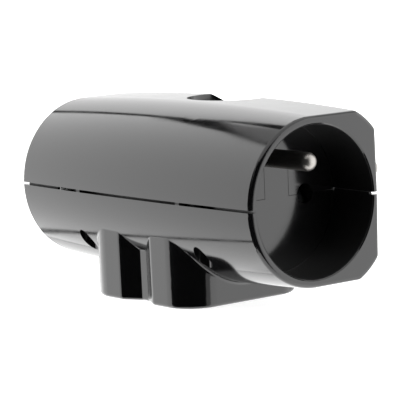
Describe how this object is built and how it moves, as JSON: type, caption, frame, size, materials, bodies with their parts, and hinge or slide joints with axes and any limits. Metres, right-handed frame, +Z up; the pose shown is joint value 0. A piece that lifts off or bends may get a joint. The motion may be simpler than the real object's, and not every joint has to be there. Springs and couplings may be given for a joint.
{
  "type": "mains plug adapter",
  "caption": "Barrel-shaped mains adapter with an earthed round socket at each end, flat outlets under its base and a round plug with pins on its back.",
  "frame": {"origin": "middle of the base's flat underside", "axes": "+X along the barrel to the right-hand socket, +Y towards the wall that the plug goes into, +Z up"},
  "size_m": [0.0964, 0.0795, 0.051],
  "materials": {
    "black_abs": "moulded gloss",
    "plated_brass": "nickel plated",
    "brass": "rolled strip",
    "steel": "zinc plated",
    "shutter_plastic": "fine moulded"
  },
  "bodies": {
    "housing": {"lower_shell": "black_abs", "upper_shell": "black_abs", "plug_body": "black_abs", "live_pin": "plated_brass", "neutral_pin": "plated_brass", "right_earth_pin": "plated_brass", "left_earth_pin": "plated_brass", "live_bar": "brass", "neutral_bar": "brass", "live_link": "brass", "earth_bar": "brass", "plug_earth_socket": "brass", "contact_rivets": "brass", "right_live_contact": "brass", "right_neutral_contact": "brass", "right_outlet_live_contact": "brass", "right_outlet_neutral_contact": "brass", "left_live_contact": "brass", "left_neutral_contact": "brass", "left_outlet_live_contact": "brass", "left_outlet_neutral_contact": "brass", "case_screws": "steel", "right_keeper": "shutter_plastic", "left_keeper": "shutter_plastic", "outlet_keeper": "shutter_plastic"},
    "right_shutter": {"right_shutter": "shutter_plastic", "right_shutter_spring": "steel"},
    "right_outlet_shutter": {"right_outlet_shutter": "shutter_plastic", "right_outlet_spring": "steel"},
    "left_shutter": {"left_shutter": "shutter_plastic", "left_shutter_spring": "steel"},
    "left_outlet_shutter": {"left_outlet_shutter": "shutter_plastic", "left_outlet_spring": "steel"}
  },
  "joints": [
    {"name": "right_shutter_slide", "type": "slide", "parent": "housing", "child": "right_shutter", "axis": [0, 0, -1], "range_m": [0, 0.0066], "stiffness_N_per_m": 60, "springref_m": -0.006, "deforming": ["right_shutter_spring"]},
    {"name": "right_outlet_shutter_slide", "type": "slide", "parent": "housing", "child": "right_outlet_shutter", "axis": [-1, 0, 0], "range_m": [0, 0.0054], "stiffness_N_per_m": 50, "springref_m": -0.005, "deforming": ["right_outlet_spring"]},
    {"name": "left_shutter_slide", "type": "slide", "parent": "housing", "child": "left_shutter", "axis": [0, 0, -1], "range_m": [0, 0.0066], "stiffness_N_per_m": 60, "springref_m": -0.006, "deforming": ["left_shutter_spring"]},
    {"name": "left_outlet_shutter_slide", "type": "slide", "parent": "housing", "child": "left_outlet_shutter", "axis": [1, 0, 0], "range_m": [0, 0.0054], "stiffness_N_per_m": 50, "springref_m": -0.005, "deforming": ["left_outlet_spring"]}
  ]
}
